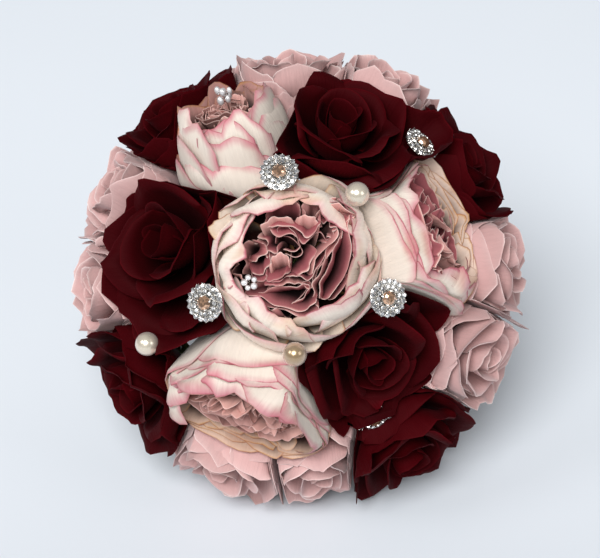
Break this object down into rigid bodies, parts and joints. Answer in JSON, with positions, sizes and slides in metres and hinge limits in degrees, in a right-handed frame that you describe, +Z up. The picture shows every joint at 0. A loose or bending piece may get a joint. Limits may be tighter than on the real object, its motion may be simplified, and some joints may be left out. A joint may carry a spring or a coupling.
{
  "type": "rose and peony bouquet",
  "caption": "Round hand-tied posy of artificial roses and peonies on wire stems, with brooches, pearls and bead sprays, bound with ribbon into a handle, lying on its side.",
  "frame": {"origin": "middle of the foot of the part's box, on the surface that it lies on", "axes": "the handle points along +Y and down, the dome of blooms faces -Y and up, +Z is up"},
  "size_m": [0.2318, 0.2582, 0.217],
  "materials": {
    "cream_petals": "cream silk cloth with pink and tan edges",
    "mauve_petals": "mauve silk cloth",
    "burgundy_petals": "velvety burgundy cloth",
    "pink_petals": "dusty pink silk cloth",
    "stems": "matt green plastic over wire",
    "silver": "bright plated setting",
    "centre_stone": "faceted champagne stone",
    "pearl": "pearly",
    "crystal": "clear faceted bead",
    "ribbon": "ivory satin ribbon"
  },
  "bodies": {
    "root": {"peony_centre": "cream_petals", "peony_centre_heart": "mauve_petals", "peony_centre_stem": "stems", "peony_right": "cream_petals", "peony_right_heart": "mauve_petals", "peony_right_stem": "stems", "peony_top": "cream_petals", "peony_top_heart": "mauve_petals", "peony_top_stem": "stems", "peony_bottom": "cream_petals", "peony_bottom_heart": "mauve_petals", "peony_bottom_stem": "stems", "burgundy_rose_1": "burgundy_petals", "burgundy_rose_1_stem": "stems", "burgundy_rose_2": "burgundy_petals", "burgundy_rose_2_stem": "stems", "burgundy_rose_3": "burgundy_petals", "burgundy_rose_3_stem": "stems", "burgundy_rose_4": "burgundy_petals", "burgundy_rose_4_stem": "stems", "burgundy_rose_5": "burgundy_petals", "burgundy_rose_5_stem": "stems", "burgundy_rose_6": "burgundy_petals", "burgundy_rose_6_stem": "stems", "burgundy_rose_7": "burgundy_petals", "burgundy_rose_7_stem": "stems", "pink_rose_1": "pink_petals", "pink_rose_1_stem": "stems", "pink_rose_2": "pink_petals", "pink_rose_2_stem": "stems", "pink_rose_3": "pink_petals", "pink_rose_3_stem": "stems", "pink_rose_4": "pink_petals", "pink_rose_4_stem": "stems", "pink_rose_5": "pink_petals", "pink_rose_5_stem": "stems", "pink_rose_6": "pink_petals", "pink_rose_6_stem": "stems", "pink_rose_7": "pink_petals", "pink_rose_7_stem": "stems", "pink_rose_8": "pink_petals", "pink_rose_8_stem": "stems", "brooch_1": "silver", "brooch_stone_1": "centre_stone", "brooch_2": "silver", "brooch_stone_2": "centre_stone", "brooch_3": "silver", "brooch_stone_3": "centre_stone", "brooch_4": "silver", "brooch_stone_4": "centre_stone", "brooch_5": "silver", "brooch_stone_5": "centre_stone", "pearl_1": "pearl", "pearl_2": "pearl", "pearl_3": "pearl", "crystal_spray_1": "crystal", "crystal_spray_2": "crystal", "ribbon_wrap": "ribbon"}
  },
  "joints": []
}
